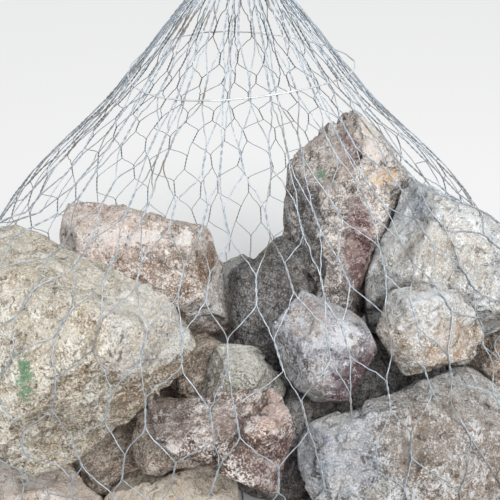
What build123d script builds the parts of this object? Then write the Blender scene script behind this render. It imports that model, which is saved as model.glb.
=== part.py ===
from build123d import *

import itertools
import math
import os
import random

import numpy as np

# A sack gabion: loose boulders in a tube of double-twisted hexagonal wire mesh, drawn together
# under the stones and gathered above them to a tied neck, which is its lifting point.
# Millimetres. The origin is the middle of the base on the ground, +Z is up and -Y is the front.

# The mesh, of the usual 10 x 12 cm type: two wires twisted together, then parting to both sides.
COLUMNS = 45
TWIST_LENGTH = 52
DIAGONAL_LENGTH = 63
LEAST_CELL_DROP = DIAGONAL_LENGTH / 3
PAIR_WIDTH = 4.8
PAIR_DEPTH = 3.8
LEAST_PAIR_GAP = 0.7

# The sack's own shape, as the radius and height of the mesh where nothing pushes it out.
NECK_RADIUS = 31
NECK_HEIGHT = 1088
THROAT_RADIUS = 98
THROAT_HEIGHT = 975
CONE_RADIUS = 296
CONE_HEIGHT = 752
SHOULDER_RADIUS = 515
SHOULDER_HEIGHT = 535
BELLY_RADIUS = 598
BELLY_HEIGHT = 335
FOOT_RADIUS = 560
FOOT_HEIGHT = 62
BASE_RADIUS = 480
CLOSING_RADIUS = 92

# Places down the throat, as shares of the way to the first open row, where the strands bend.
THROAT_BENDS = (0.0, 0.45, 1.0)

# The gathered end above the tie, whose strands are of uneven length.
TUFT_RADIUS = 62
TUFT_HEIGHT = 72
TUFT_UNEVENNESS = 0.25
TUFT_WAVE = 2.4

# How the mesh is shared out, and how its wires bunch towards the neck.
SECTORS = 5
FIRST_OPEN_ROW = 132
BUNCHES = 15
STRONGEST_BUNCHING = 0.62
BUNCHING_ENDS_AT_RADIUS = 440

# Loose wires: the lacing that ties the neck, closes the base and hoops the cone.
LACING_WIRE = 3.0
TIE_TURNS = 5
TIE_RISE = 3.5
TIE_TAIL_REACH = 49
TIE_TAIL_RISE = 20
CLOSING_WIRE = 6.0
HOOP_ABOVE_CONE = 135
HOOP_WAVE = 12
HOOP_WAVES = 2
HOOP_WAVE_START = 0.7
HOOP_STAND_OFF = 11

# Clearances between pieces that only touch.
CONTACT = 0.3
MESH_OVER_STONE = 3.0
BED_HEIGHT = PAIR_DEPTH + 0.5

# How finely the mesh's line is drawn, and the push of the boulders on it sampled: down it, and
# round it in degrees. A place takes the largest push in a window around it.
LINE_STEPS = 160
NORMAL_REACH = 4
GRID_STEP = 7.0
GRID_TURN = 0.8
PUSH_WINDOW = DIAGONAL_LENGTH / 2 + 3

# The steepest way the stiff mesh comes back to its own shape beside a boulder, and how many steps
# of the grid it takes to do so.
DRAPE_SLOPE = 0.7
DRAPE_STEPS = 40

# A boulder is cut from a block this much larger than itself. Corners nearer than this are one.
ROUGH_BLOCK = 1.6
SAME_CORNER = 1e-4

# Boulders cut all round: how round they are, from a box at 1 to an egg at 2, and how unevenly cut.
ROUND_POWER = 1.65
ROUND_FACETS = 20
ROUND_LEAST_REACH = 0.90
ROUND_WANDER = 0.3

# Boulders cut to an outline: how far their sides and their broad faces slope, in degrees, and how
# far the edge between two slopes strays from mid thickness.
SIDE_SLOPES = (12, 34)
SIDE_WANDER = 0.13
FACE_SLOPES = (5, 15)
FACE_CUTS = 4
FACE_LEAST_REACH = 0.88

# The keel of the boulder in the middle of the base, which comes through the closing ring.
KEEL_RADIUS = 52
KEEL_SLOPE = 14
KEEL_FACETS = 8

# Flats in one turn of each loose wire.
TIE_STEPS = 20
RING_STEPS = 32
HOOP_STEPS = 60


def unit(vector):
    return vector / np.linalg.norm(vector)


def solid_of(loops):
    """One closed solid from its flat faces, each given as a loop of corners."""
    faces = [Face(Wire.make_polygon([Vector(*p) for p in loop])) for loop in loops]
    return Solid(Shell(faces))


class Boulder:
    """A convex boulder, kept as the flat faces that bound it."""

    def __init__(self, at, thick, facing=0, lean=35, roll=0, seed=1):
        """at is its middle. Its broad face looks outwards at the facing angle (0 is the front, 90 the
        right), leans back by lean and is turned in its own plane by roll."""
        self.middle = np.array(at, float)
        self.thick = thick
        self.chance = random.Random(seed)
        outwards, tip, turn = (math.radians(a) for a in (facing, lean, roll))
        flat = np.array([math.sin(outwards), -math.cos(outwards), 0])
        side = np.array([math.cos(outwards), math.sin(outwards), 0])
        up_face = -flat * math.sin(tip) + np.array([0, 0, math.cos(tip)])
        self.right = side * math.cos(turn) - up_face * math.sin(turn)
        self.up = side * math.sin(turn) + up_face * math.cos(turn)
        self.front = flat * math.cos(tip) + np.array([0, 0, math.sin(tip)])

    def cut_round(self, across, along):
        """Cuts it all round to its size across and up its broad face."""
        axes = np.array([self.right, self.up, self.front])
        half = np.array([across, along, self.thick]) / 2
        self.loops = self.block(half * ROUGH_BLOCK)
        for step in range(ROUND_FACETS):
            height = 1 - 2 * (step + 0.5) / ROUND_FACETS
            angle = step * math.pi * (3 - math.sqrt(5))
            angle += self.chance.uniform(-ROUND_WANDER, ROUND_WANDER)
            level = math.sqrt(1 - height * height)
            way = np.array([level * math.cos(angle), level * math.sin(angle), height])
            reach = np.sum(np.abs(half * way) ** ROUND_POWER) ** (1 / ROUND_POWER)
            self.cleave_at(way @ axes, reach * self.chance.uniform(ROUND_LEAST_REACH, 1.0))
        return self

    def cut_outline(self, *flats):
        """Cuts its outline, each flat given by the angle it faces, clockwise from the top of the
        broad face, and its distance from the middle. Sides and broad faces all slope a little."""
        widest = max(distance for _, distance in flats)
        self.loops = self.block(np.array([widest, widest, self.thick / 2]) * ROUGH_BLOCK)
        for angle, distance in flats:
            turn = math.radians(angle)
            away = self.right * math.sin(turn) + self.up * math.cos(turn)
            edge = self.thick * self.chance.uniform(-SIDE_WANDER, SIDE_WANDER)
            for sign in (1, -1):
                slope = math.radians(self.chance.uniform(*SIDE_SLOPES))
                normal = away * math.cos(slope) + self.front * sign * math.sin(slope)
                self.cleave_at(normal, distance * math.cos(slope) + edge * sign * math.sin(slope))
        for face in (self.front, -self.front):
            start = self.chance.uniform(0, math.tau)
            for step in range(FACE_CUTS):
                turn = start + math.tau * step / FACE_CUTS
                away = self.right * math.sin(turn) + self.up * math.cos(turn)
                slope = math.radians(self.chance.uniform(*FACE_SLOPES))
                reach = self.thick / 2 * self.chance.uniform(FACE_LEAST_REACH, 1.0)
                self.cleave_at(away * math.sin(slope) + face * math.cos(slope), reach)
        return self

    def block(self, half):
        axes = np.array([self.right, self.up, self.front])
        corners = {}
        for signs in itertools.product((-1, 1), repeat=3):
            corners[signs] = self.middle + (np.array(signs) * half) @ axes
        loops = []
        for axis, sign in itertools.product(range(3), (-1, 1)):
            ring = [(-1, -1), (1, -1), (1, 1), (-1, 1)]
            loops.append([corners[tuple(np.insert(pair, axis, sign).tolist())] for pair in ring])
        return loops

    def cleave_at(self, normal, distance):
        """Cuts away what lies further than distance from its middle along normal."""
        self.cleave(normal, distance + normal @ self.middle)

    def cleave(self, normal, offset):
        """Cuts away what lies beyond the plane normal . p = offset."""
        kept, rim = [], []
        for loop in self.loops:
            height = [p @ normal - offset for p in loop]
            cut = []
            for (p, a), (q, b) in zip(zip(loop, height), zip(loop[1:] + loop[:1], height[1:] + height[:1])):
                if a <= 0:
                    cut.append(p)
                if (a < 0 < b) or (b < 0 < a):
                    crossing = p + (q - p) * (a / (a - b))
                    cut.append(crossing)
                    rim.append(crossing)
            if len(cut) > 2:
                kept.append(cut)
        if rim:
            kept.append(in_ring_order(rim, normal))
            self.loops = kept

    def corners(self):
        return np.array([p for loop in self.loops for p in loop])

    def planes(self):
        """Outward normals and offsets of its faces."""
        middle = self.corners().mean(axis=0)
        normals, offsets = [], []
        for loop in self.loops:
            around = sum(np.cross(p - middle, q - middle) for p, q in zip(loop, loop[1:] + loop[:1]))
            normal = unit(around)
            offset = loop[0] @ normal
            if middle @ normal > offset:
                normal, offset = -normal, -offset
            normals.append(normal)
            offsets.append(offset)
        return np.array(normals), np.array(offsets)


def in_ring_order(points, normal):
    """The rim of a cut, once round, with each corner once."""
    middle = np.mean(points, axis=0)
    side = unit(points[0] - middle)
    other = np.cross(normal, side)
    ordered = sorted(points, key=lambda p: math.atan2((p - middle) @ other, (p - middle) @ side))
    ring = [ordered[0]]
    for point in ordered[1:]:
        if min(np.linalg.norm(point - ring[-1]), np.linalg.norm(point - ring[0])) > SAME_CORNER:
            ring.append(point)
    return ring


def part_two(one, other):
    """Trims two boulders to a common plane where they would run into each other."""
    a, b = one.corners(), other.corners()
    ways = np.vstack([one.planes()[0], -other.planes()[0], [unit(other.middle - one.middle)]])
    overlap = (a @ ways.T).max(axis=0) - (b @ ways.T).min(axis=0)
    least = int(np.argmin(overlap))
    if overlap[least] <= CONTACT:
        return
    way = ways[least]
    place = (b @ way).min() + overlap[least] / 2
    one.cleave(way, place - CONTACT / 2)
    other.cleave(-way, -place - CONTACT / 2)


# The boulders that show at the front, then those behind and under them.
BOULDERS = {
    "boulder_big_left": Boulder((-315, -360, 445), 300, facing=-15, lean=36, seed=3).cut_outline(
        (15, 175), (50, 220), (100, 220), (135, 185), (170, 240), (220, 230), (260, 197), (345, 260)
    ),
    "boulder_upper_left": Boulder((-220, -95, 430), 290, facing=-5, lean=40, seed=8).cut_outline(
        (350, 185), (12, 138), (40, 180), (75, 185), (165, 170), (190, 150), (255, 170), (280, 205)
    ),
    "boulder_tall": Boulder((230, -75, 525), 320, facing=5, lean=33, seed=5).cut_outline(
        (50, 184), (85, 145), (115, 175), (185, 235), (235, 245), (278, 158), (317, 200)
    ),
    "boulder_right": Boulder((395, -180, 480), 290, facing=15, lean=35, seed=11).cut_outline(
        (20, 185), (35, 170), (80, 170), (120, 185), (175, 180), (210, 175), (265, 165), (310, 175)
    ),
    "boulder_small_right": Boulder((340, -340, 480), 150, facing=15, lean=38, seed=6).cut_outline(
        (0, 85), (70, 85), (140, 105), (180, 75), (245, 90), (300, 95)
    ),
    "boulder_middle": Boulder((155, -355, 455), 190, facing=8, lean=36, seed=9).cut_outline(
        (30, 78), (66, 81), (123, 84), (188, 104), (222, 98), (258, 87), (314, 100)
    ),
    "boulder_small_left": Boulder((0, -340, 365), 150, lean=30, seed=12).cut_outline(
        (5, 60), (45, 60), (70, 75), (180, 55), (285, 70)
    ),
    "boulder_front": Boulder((-15, -490, 365), 180, facing=-5, lean=28, seed=14).cut_outline(
        (350, 75), (50, 120), (102, 105), (200, 62), (255, 135)
    ),
    "boulder_front_right": Boulder((325, -445, 250), 260, facing=15, lean=28, seed=15).cut_outline(
        (350, 160), (25, 200), (65, 235), (110, 235), (175, 180), (210, 185), (260, 225), (285, 235)
    ),
    "boulder_foot_front": Boulder((-145, -470, 125), 190, facing=-8, lean=12, seed=18).cut_outline(
        (335, 108), (25, 140), (80, 155), (135, 125), (170, 115), (235, 175), (280, 155)
    ),
    "boulder_inner_right": Boulder((80, -200, 395), 170, facing=5, lean=36, seed=22).cut_outline(
        (30, 155), (90, 110), (180, 115), (270, 120), (327, 145)
    ),
    "boulder_foot_left": Boulder((-385, -415, 85), 190, facing=-40, lean=10, seed=17).cut_round(290, 190),
    "boulder_far_right": Boulder((512, -212, 348), 160, facing=65, lean=20, seed=19).cut_round(165, 220),
    "boulder_inner_left": Boulder((-125, -390, 262), 180, seed=20).cut_round(165, 165),
    "boulder_low_left": Boulder((-245, -300, 150), 220, lean=45, seed=34).cut_round(260, 240),
    "boulder_low_middle": Boulder((80, -300, 130), 240, lean=45, seed=35).cut_round(230, 230),
    "boulder_low_right": Boulder((268, -200, 185), 300, lean=45, seed=36).cut_round(280, 300),
    "boulder_inner_middle": Boulder((-75, -290, 320), 150, seed=21).cut_round(140, 150),
    "boulder_wedge": Boulder((118, -378, 295), 130, seed=23).cut_round(130, 120),
    "boulder_base": Boulder((0, -40, 115), 230, lean=90, seed=24).cut_round(430, 400),
    "boulder_foot_right": Boulder((190, -470, 70), 160, facing=22, lean=5, seed=25).cut_round(260, 140),
    "boulder_left_side": Boulder((-470, -60, 240), 250, facing=-85, lean=15, seed=26).cut_round(300, 380),
    "boulder_right_side": Boulder((450, 20, 200), 260, facing=88, lean=12, seed=27).cut_round(330, 350),
    "boulder_back_left": Boulder((-250, 235, 190), 280, facing=-145, seed=28).cut_round(350, 290),
    "boulder_back_middle": Boulder((0, 310, 65), 220, facing=180, lean=5, seed=29).cut_round(300, 130),
    "boulder_back_right": Boulder((320, 200, 370), 300, facing=140, seed=30).cut_round(300, 310),
    "boulder_back_foot_left": Boulder((-330, 350, 100), 220, facing=-135, lean=5, seed=31).cut_round(
        290, 190
    ),
    "boulder_back_foot_right": Boulder((275, 345, 105), 220, facing=142, lean=5, seed=32).cut_round(
        300, 200
    ),
}


def settle_boulders():
    """Beds every boulder on the mesh under it and parts those that lean on each other."""
    down = np.array([0, 0, -1.0])
    for name, stone in BOULDERS.items():
        stone.cleave(down, 0 if name == "boulder_base" else -BED_HEIGHT)
    keel = BOULDERS["boulder_base"]
    tip = math.radians(KEEL_SLOPE)
    for step in range(KEEL_FACETS):
        angle = math.tau * step / KEEL_FACETS
        normal = np.array(
            [math.sin(tip) * math.cos(angle), math.sin(tip) * math.sin(angle), -math.cos(tip)]
        )
        keel.cleave(normal, KEEL_RADIUS * math.sin(tip))
    for one, other in itertools.combinations(BOULDERS.values(), 2):
        part_two(one, other)


def meridian_points():
    """The mesh's line from the neck down to the closing ring, as radius and height."""
    steep_at_neck, flat_on_ground = (0.05, -1), (-1, 0)
    side = Spline(
        (NECK_RADIUS, NECK_HEIGHT),
        (THROAT_RADIUS, THROAT_HEIGHT),
        (CONE_RADIUS, CONE_HEIGHT),
        (SHOULDER_RADIUS, SHOULDER_HEIGHT),
        (BELLY_RADIUS, BELLY_HEIGHT),
        (FOOT_RADIUS, FOOT_HEIGHT),
        (BASE_RADIUS, PAIR_DEPTH),
        tangents=[steep_at_neck, flat_on_ground],
    )
    points = [side @ (step / LINE_STEPS) for step in range(LINE_STEPS + 1)]
    points += [Vector(CLOSING_RADIUS, PAIR_DEPTH)]
    return np.array([(p.X, p.Y) for p in points])


class Mesh:
    """The draped wire mesh: where its wires lie, row by row and column by column."""

    def __init__(self):
        self.line = meridian_points()
        self.along = np.concatenate([[0], np.cumsum(np.linalg.norm(np.diff(self.line, axis=0), axis=1))])
        self.flat_starts = self.along[-2]
        self.stones = [stone.planes() for stone in BOULDERS.values()]
        self.rows = self.lay_rows()
        self.lift_grid()

    def radius(self, s):
        return float(np.interp(s, self.along, self.line[:, 0]))

    def height(self, s):
        return float(np.interp(s, self.along, self.line[:, 1]))

    def normal(self, s):
        """Outward normal of the line, as radius and height."""
        ahead, behind = min(s + NORMAL_REACH, self.along[-1]), max(s - NORMAL_REACH, 0)
        step = np.array([self.radius(ahead) - self.radius(behind), self.height(ahead) - self.height(behind)])
        step = unit(step)
        return np.array([-step[1], step[0]])

    def lay_rows(self):
        """Top and bottom of each row of twists. The more the columns spread, the shorter the cells."""
        rows = []
        top = FIRST_OPEN_ROW
        while top + TWIST_LENGTH < self.flat_starts:
            bottom = top + TWIST_LENGTH
            rows.append((top, bottom))
            half_pitch = math.pi * self.radius(bottom) / COLUMNS
            top = bottom + math.sqrt(max(DIAGONAL_LENGTH**2 - half_pitch**2, LEAST_CELL_DROP**2))
        return rows

    def angle(self, s, column):
        """Where a column stands round the sack. Near the neck the columns draw into bunches."""
        even = math.tau * column / COLUMNS
        radius = self.radius(s)
        pitch = math.tau * radius / COLUMNS
        room = 1 - (self.pair_width(s) + LEAST_PAIR_GAP) / pitch
        fade = min(1, max(0, (BUNCHING_ENDS_AT_RADIUS - radius) / (BUNCHING_ENDS_AT_RADIUS - CONE_RADIUS)))
        pull = min(STRONGEST_BUNCHING, max(0, room)) * fade
        return even - pull / BUNCHES * math.sin(BUNCHES * even)

    def pair_width(self, s):
        return min(PAIR_WIDTH, math.tau * self.radius(s) / COLUMNS - LEAST_PAIR_GAP)

    def push_way(self, s):
        """The way the boulders push the mesh, as radius and height: never down into the ground."""
        out, rise = self.normal(s)
        return np.array([out, rise]) if rise > 0 else np.array([1.0, 0.0])

    def lift_grid(self):
        """How far the boulders push the mesh out of its own shape, sampled from the neck to where
        it lies flat on the ground."""
        self.grid_s = np.append(np.arange(0, self.flat_starts, GRID_STEP), self.flat_starts)
        self.grid_angle = np.radians(np.arange(0, 360, GRID_TURN))
        radii = np.array([self.radius(s) for s in self.grid_s])[:, None]
        heights = np.array([max(self.height(s), BED_HEIGHT + 1) for s in self.grid_s])[:, None]
        outs, rises = np.array([self.push_way(s) for s in self.grid_s]).T[:, :, None]
        cosines, sines = np.cos(self.grid_angle), np.sin(self.grid_angle)
        starts = np.stack([radii * cosines, radii * sines, heights + 0 * cosines], axis=-1)
        ways = np.stack([outs * cosines, outs * sines, rises + 0 * cosines], axis=-1)
        self.grid = np.zeros(starts.shape[:2])
        for normals, offsets in self.stones:
            speed = ways @ normals.T
            room = offsets - starts @ normals.T
            far = np.where(speed > 0, room / np.where(speed > 0, speed, 1), np.inf).min(axis=-1)
            near = np.where(speed < 0, room / np.where(speed < 0, speed, 1), -np.inf).max(axis=-1)
            push = np.where(near < far, far + MESH_OVER_STONE, 0)
            self.grid = np.maximum(self.grid, push)
        down, round_it = DRAPE_SLOPE * GRID_STEP, DRAPE_SLOPE * radii * math.radians(GRID_TURN)
        for _ in range(DRAPE_STEPS):
            self.grid[1:] = np.maximum(self.grid[1:], self.grid[:-1] - down)
            self.grid[:-1] = np.maximum(self.grid[:-1], self.grid[1:] - down)
            for way in (-1, 1):
                self.grid = np.maximum(self.grid, np.roll(self.grid, way, axis=1) - round_it)

    def lift(self, s, angle):
        """The push at a place, taken over half a cell around it so that the bars clear as well."""
        if s > self.flat_starts:
            return 0.0
        rows = np.abs(self.grid_s - s) <= PUSH_WINDOW
        radius = max(self.radius(s), PUSH_WINDOW)
        turn = np.abs((self.grid_angle - angle + math.pi) % math.tau - math.pi)
        columns = turn * radius <= PUSH_WINDOW
        return float(self.grid[np.ix_(rows, columns)].max())

    def section(self, s, column):
        """The pair's section where it lies: left, middle and right on the inside, and its ridge."""
        angle = self.angle(s, column)
        out, rise = self.normal(s)
        flat = np.array([math.cos(angle), math.sin(angle), 0])
        side = np.array([-math.sin(angle), math.cos(angle), 0])
        way = flat * out + np.array([0, 0, rise])
        push_out, push_up = self.push_way(s) * self.lift(s, angle)
        middle = flat * (self.radius(s) + push_out) + np.array([0, 0, self.height(s) + push_up])
        width = self.pair_width(s)
        depth = min(PAIR_DEPTH, width)
        return {
            "left": middle - side * width / 2,
            "middle": middle,
            "right": middle + side * width / 2,
            "ridge": middle + way * depth,
        }


def creased(a, b, c, d):
    """A four-cornered side as two triangles, creased so that it bulges outwards."""
    if np.cross(b - a, c - a) @ (d - a) <= 0:
        return [[a, b, c], [a, c, d]]
    return [[a, b, d], [b, c, d]]


def sides(start, end):
    """The sides of a bar between two sections with the same number of corners."""
    faces = []
    for a, b, c, d in zip(start, start[1:] + start[:1], end[1:] + end[:1], end):
        faces += creased(a, b, c, d)
    return faces


def half(section, side):
    """One wire of a pair."""
    corners = ("left", "middle", "ridge") if side == "left" else ("middle", "right", "ridge")
    return [section[corner] for corner in corners]


def whole(section):
    return [section["left"], section["right"], section["ridge"]]


def twist(top, bottom, top_parts, bottom_parts):
    """A twisted pair. Its inner face takes the middle corner in where the wires part."""
    faces = creased(top["right"], top["ridge"], bottom["ridge"], bottom["right"])
    faces += creased(top["ridge"], top["left"], bottom["left"], bottom["ridge"])
    if top_parts and bottom_parts:
        faces += [
            [top["left"], top["middle"], bottom["middle"]],
            [top["left"], bottom["middle"], bottom["left"]],
            [top["middle"], top["right"], bottom["right"]],
            [top["middle"], bottom["right"], bottom["middle"]],
        ]
    elif bottom_parts:
        faces += [
            [top["left"], bottom["middle"], bottom["left"]],
            [top["left"], top["right"], bottom["middle"]],
            [top["right"], bottom["right"], bottom["middle"]],
        ]
    else:
        faces += [
            [top["left"], top["middle"], bottom["left"]],
            [top["middle"], bottom["right"], bottom["left"]],
            [top["middle"], top["right"], bottom["right"]],
        ]
    return faces


def panel(mesh, first_row, last_row, sector):
    """A stretch of mesh from half way down the twists of one row to half way down another's. The
    mesh's first row is whole at its top and its last row whole at its foot."""
    per_sector = COLUMNS // SECTORS
    faces = []
    for row in range(first_row, last_row + 1):
        top_s, bottom_s = mesh.rows[row]
        middle_s = (top_s + bottom_s) / 2
        starts_cut = row == first_row and row > 0
        ends_cut = row == last_row and row < len(mesh.rows) - 1
        for step in range(per_sector):
            column = sector * per_sector + step + 0.5 * (row % 2)
            top = mesh.section(middle_s if starts_cut else top_s, column)
            bottom = mesh.section(middle_s if ends_cut else bottom_s, column)
            top_parts = row > 0 and not starts_cut
            bottom_parts = row < len(mesh.rows) - 1 and not ends_cut
            faces += twist(top, bottom, top_parts, bottom_parts)
            if not top_parts:
                faces.append(whole(top)[::-1])
            elif row % 2 == 0 and step == 0:
                faces.append(half(top, "left")[::-1])
            elif row % 2 == 1 and step == per_sector - 1:
                faces.append(half(top, "right")[::-1])
            if not bottom_parts:
                faces.append(whole(bottom))
                continue
            below_s = mesh.rows[row + 1][0]
            for side, other, shift in (("left", "right", -0.5), ("right", "left", 0.5)):
                end = half(mesh.section(below_s, column + shift), other)
                faces += sides(half(bottom, side), end)
                leaves = (row % 2 == 0 and step == 0 and side == "left") or (
                    row % 2 == 1 and step == per_sector - 1 and side == "right"
                )
                if leaves:
                    faces.append(end)
    return solid_of(faces)


def strand(sections):
    """A single strand through its sections, closed at both ends."""
    faces = [whole(sections[0])[::-1], whole(sections[-1])]
    for start, end in zip(sections, sections[1:]):
        faces += sides(whole(start), whole(end))
    return solid_of(faces)


def tie_top():
    return NECK_HEIGHT + (TIE_TURNS + 1) * TIE_RISE


def gathered_neck(mesh):
    """The strands above the first open row: through the tie, and spreading in a tuft above it."""
    strands = []
    for column in range(COLUMNS):
        angle = math.tau * column / COLUMNS
        flat = np.array([math.cos(angle), math.sin(angle), 0])
        side = np.array([-math.sin(angle), math.cos(angle), 0])
        tip_height = tie_top() + TUFT_HEIGHT * (1 + TUFT_UNEVENNESS * math.sin(column * TUFT_WAVE))
        tip = flat * TUFT_RADIUS + np.array([0, 0, tip_height])
        width = mesh.pair_width(0)
        slant = unit(np.array([TUFT_RADIUS - NECK_RADIUS, TUFT_HEIGHT]))
        way = flat * slant[1] - np.array([0, 0, slant[0]])
        tuft = {
            "left": tip - side * width / 2,
            "right": tip + side * width / 2,
            "ridge": tip + way * width,
        }
        lower = [mesh.section(share * FIRST_OPEN_ROW, column) for share in THROAT_BENDS]
        above_tie = {name: p + np.array([0, 0, tie_top() - NECK_HEIGHT]) for name, p in lower[0].items()}
        strands.append(strand([tuft, above_tie, *lower]))
    return Compound(strands)


def drawn_in_base(mesh):
    """The strands under the stones, from the last open row in to the closing ring."""
    strands = []
    last = len(mesh.rows) - 1
    end_s = mesh.along[-1]
    for step in range(COLUMNS):
        column = step + 0.5 * (last % 2)
        places = (mesh.rows[last][1], mesh.flat_starts, end_s)
        strands.append(strand([mesh.section(s, column) for s in places]))
    return Compound(strands)


def wire_run(points, thickness, closed=False):
    """A wire of four sides along points, mitred at each."""
    count = len(points)
    rings = []
    for k, point in enumerate(points):
        before = points[(k - 1) % count] if closed or k > 0 else point
        after = points[(k + 1) % count] if closed or k < count - 1 else point
        way = unit(after - before)
        side = unit(np.cross(way, [0, 0, 1]) if abs(way[2]) < 0.95 else np.cross(way, [0, 1, 0]))
        up = np.cross(side, way)
        reach = thickness / 2
        rings.append([point + side * reach, point + up * reach, point - side * reach, point - up * reach])
    faces = []
    pairs = list(zip(rings, rings[1:])) + ([(rings[-1], rings[0])] if closed else [])
    for start, end in pairs:
        faces += sides(start, end)
    if not closed:
        faces += [rings[0][::-1], rings[-1]]
    return solid_of(faces)


def neck_tie(mesh):
    """Lacing wire wound round the neck, its two ends bent away."""
    outside = NECK_RADIUS + mesh.pair_width(0) + LACING_WIRE / 2 + CONTACT
    outside /= math.cos(math.pi / TIE_STEPS)
    points = []
    for k in range(TIE_TURNS * TIE_STEPS + 1):
        angle = math.tau * k / TIE_STEPS
        height = NECK_HEIGHT + TIE_RISE * (k / TIE_STEPS + 0.5)
        points.append(np.array([outside * math.cos(angle), outside * math.sin(angle), height]))
    tails = []
    for end, rise in ((points[0], -TIE_TAIL_RISE), (points[-1], TIE_TAIL_RISE)):
        out = unit(np.array([end[0], end[1], 0]))
        tails.append(end + out * TIE_TAIL_REACH + np.array([0, 0, rise]))
    return wire_run([tails[0], *points, tails[1]], LACING_WIRE)


def closing_ring():
    """The wire that draws the base together, lying on the ground inside the strands' ends."""
    middle = CLOSING_RADIUS - CLOSING_WIRE / 2 - CONTACT
    points = []
    for k in range(RING_STEPS):
        angle = math.tau * k / RING_STEPS
        points.append(np.array([middle * math.cos(angle), middle * math.sin(angle), CLOSING_WIRE / 2]))
    return wire_run(points, CLOSING_WIRE, closed=True)


def lacing_hoop(mesh):
    """A thin wire laced once round the cone, standing off it a little at the right."""
    reaches_cone = np.searchsorted(-mesh.line[:, 1], -CONE_HEIGHT)
    middle_s = mesh.along[reaches_cone] - HOOP_ABOVE_CONE
    points = []
    for k in range(HOOP_STEPS):
        angle = math.tau * k / HOOP_STEPS
        s = middle_s + HOOP_WAVE * math.sin(HOOP_WAVES * angle + HOOP_WAVE_START)
        out, rise = mesh.normal(s)
        flat = np.array([math.cos(angle), math.sin(angle), 0])
        way = flat * out + np.array([0, 0, rise])
        stand_off = HOOP_STAND_OFF * max(0, math.cos(angle)) ** 2
        above = mesh.lift(s, angle) + PAIR_DEPTH + LACING_WIRE / 2 + 2 * CONTACT + stand_off
        points.append(flat * mesh.radius(s) + np.array([0, 0, mesh.height(s)]) + way * above)
    return wire_run(points, LACING_WIRE, closed=True)


settle_boulders()
mesh = Mesh()
shoulder_row = len(mesh.rows) // 2
pieces = {name: solid_of(stone.loops) for name, stone in BOULDERS.items()}
for sector in range(SECTORS):
    pieces[f"cone_net_{sector + 1}"] = panel(mesh, 0, shoulder_row, sector)
    pieces[f"belly_net_{sector + 1}"] = panel(mesh, shoulder_row, len(mesh.rows) - 1, sector)
pieces["gathered_neck"] = gathered_neck(mesh)
pieces["drawn_in_base"] = drawn_in_base(mesh)
pieces["closing_ring"] = closing_ring()
pieces["neck_tie"] = neck_tie(mesh)
pieces["lacing_hoop"] = lacing_hoop(mesh)

os.makedirs("parts", exist_ok=True)
for name, piece in pieces.items():
    export_step(piece, f"parts/{name}.step")
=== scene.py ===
import math
from functools import partial

import bpy
import numpy as np
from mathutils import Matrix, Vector
from mathutils.bvhtree import BVHTree


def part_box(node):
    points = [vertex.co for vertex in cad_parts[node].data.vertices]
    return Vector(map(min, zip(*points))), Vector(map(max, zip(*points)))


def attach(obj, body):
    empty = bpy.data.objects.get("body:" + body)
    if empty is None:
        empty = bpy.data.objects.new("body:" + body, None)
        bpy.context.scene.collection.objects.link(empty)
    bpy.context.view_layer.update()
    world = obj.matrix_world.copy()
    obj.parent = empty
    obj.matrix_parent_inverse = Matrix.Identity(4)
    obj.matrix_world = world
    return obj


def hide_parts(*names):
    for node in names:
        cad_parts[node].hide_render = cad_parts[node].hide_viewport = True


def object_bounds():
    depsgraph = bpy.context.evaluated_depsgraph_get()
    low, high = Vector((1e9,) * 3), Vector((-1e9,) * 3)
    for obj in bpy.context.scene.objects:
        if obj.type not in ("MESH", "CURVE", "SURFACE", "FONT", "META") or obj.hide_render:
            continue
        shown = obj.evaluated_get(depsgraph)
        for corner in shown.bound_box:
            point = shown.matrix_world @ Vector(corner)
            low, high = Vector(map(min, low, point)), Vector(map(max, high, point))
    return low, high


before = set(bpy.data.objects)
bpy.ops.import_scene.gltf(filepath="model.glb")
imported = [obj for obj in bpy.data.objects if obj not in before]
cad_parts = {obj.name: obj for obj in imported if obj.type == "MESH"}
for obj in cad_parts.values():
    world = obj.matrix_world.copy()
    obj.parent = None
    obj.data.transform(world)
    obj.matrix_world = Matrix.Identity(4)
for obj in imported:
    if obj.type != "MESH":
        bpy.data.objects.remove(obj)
cad_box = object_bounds()

# The boulders' shape. They are quarried boulders, loose in the sack: broken rock with knocked-off
# corners. Each keeps its solid's flat faces, with the edges worn round, and is chipped and pitted.

SLIVER_AREA = 2e-6
EDGE_SHARPNESS = 56
RIDGE_WIDTH = 0.02
TONE_SHARPNESS = 60
FEWEST_CUTS, MOST_CUTS = 14, 66
QUARTER = math.pi / 4
CHIP_STEP = 0.0022
HALF = (0.5, 0.5, 0.5)


def places_of(mesh):
    """The places of a mesh's vertices, one row each."""
    places = np.zeros(len(mesh.vertices) * 3)
    mesh.vertices.foreach_get("co", places)
    return places.reshape(-1, 3)


def flat_faces(node):
    """The middle of a boulder's solid, and its flat faces as normals and distances from there."""
    corners = places_of(node.data)
    middle = (corners.min(axis=0) + corners.max(axis=0)) / 2
    seen = {}
    for face in node.data.polygons:
        if face.area > SLIVER_AREA:
            normal = np.array(face.normal)
            distance = float(normal @ (np.array(face.center) - middle))
            seen[tuple(np.round(normal, 2))] = (normal, distance)
    normals = np.array([normal for normal, _ in seen.values()])
    distances = np.array([distance for _, distance in seen.values()])
    return middle, normals, distances


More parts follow.
